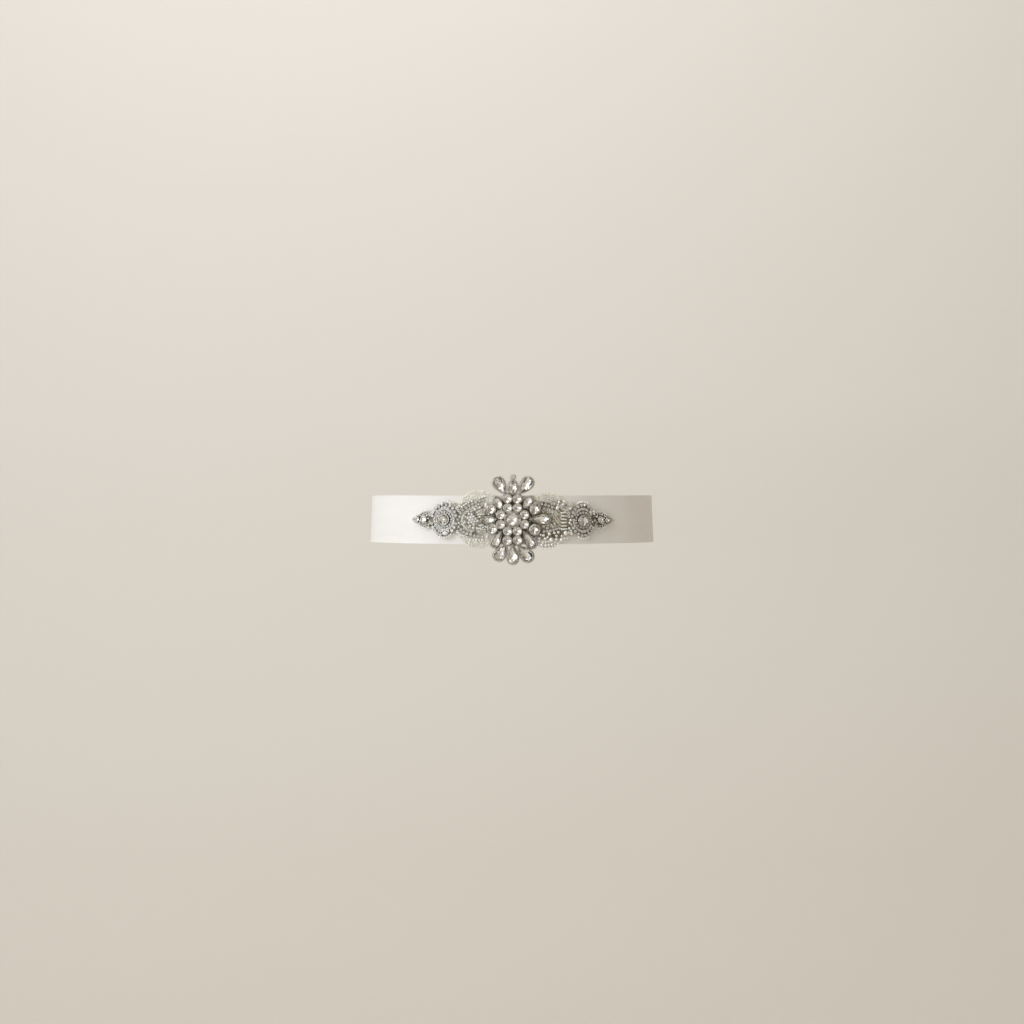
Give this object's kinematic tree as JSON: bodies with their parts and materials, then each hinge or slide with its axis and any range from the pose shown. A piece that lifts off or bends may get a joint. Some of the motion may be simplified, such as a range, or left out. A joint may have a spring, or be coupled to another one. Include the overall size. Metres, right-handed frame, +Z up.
{
  "type": "bridal sash",
  "caption": "Satin ribbon sash worn as an open ring round a waist, with a rhinestone and bead applique at centre front and a hooked lap at centre back.",
  "frame": {"origin": "middle of the waist that the sash goes round, half way up the ribbon at its sides", "axes": "+Z up the wearer, -Y towards the wearer's front, where the applique is, +X towards the wearer's left"},
  "size_m": [0.2466, 0.1916, 0.0753],
  "materials": {
    "ribbon_satin": "white double-faced satin ribbon",
    "backing_felt": "stiff cream felt",
    "beaded_net": "net sewn close with cream seed beads",
    "setting_silver": "antique silver plate, dark in its recesses",
    "crystal_glass": "clear cut glass, foiled at the back",
    "closure_nickel": "nickel-plated steel"
  },
  "bodies": {
    "root": {"applique_backing": "backing_felt", "bar_lower": "closure_nickel", "bar_upper": "closure_nickel", "bead_leaf_left": "crystal_glass", "bead_leaf_right": "crystal_glass", "fan_bottom_left": "crystal_glass", "fan_bottom_middle": "crystal_glass", "fan_bottom_right": "crystal_glass", "fan_top_left": "crystal_glass", "fan_top_middle": "crystal_glass", "fan_top_right": "crystal_glass", "finial": "crystal_glass", "hook_lower": "closure_nickel", "hook_upper": "closure_nickel", "leaf_left": "setting_silver", "leaf_right": "setting_silver", "medallion_frame": "setting_silver", "navette_left": "crystal_glass", "navette_lower_left": "crystal_glass", "navette_lower_right": "crystal_glass", "navette_right": "crystal_glass", "navette_upper_left": "crystal_glass", "navette_upper_right": "crystal_glass", "ribbon_band": "ribbon_satin", "rosette_left": "setting_silver", "rosette_right": "setting_silver", "stone_bottom_left": "crystal_glass", "stone_bottom_right": "crystal_glass", "stone_centre": "crystal_glass", "stone_leaf_left": "crystal_glass", "stone_leaf_right": "crystal_glass", "stone_left_lower": "crystal_glass", "stone_left_upper": "crystal_glass", "stone_right_lower": "crystal_glass", "stone_right_upper": "crystal_glass", "stone_ring_1": "crystal_glass", "stone_ring_2": "crystal_glass", "stone_ring_3": "crystal_glass", "stone_ring_4": "crystal_glass", "stone_ring_5": "crystal_glass", "stone_ring_6": "crystal_glass", "stone_ring_7": "crystal_glass", "stone_ring_8": "crystal_glass", "stone_rosette_left": "crystal_glass", "stone_rosette_right": "crystal_glass", "stone_top_left": "crystal_glass", "stone_top_right": "crystal_glass", "wing_left": "beaded_net", "wing_right": "beaded_net"}
  },
  "joints": []
}
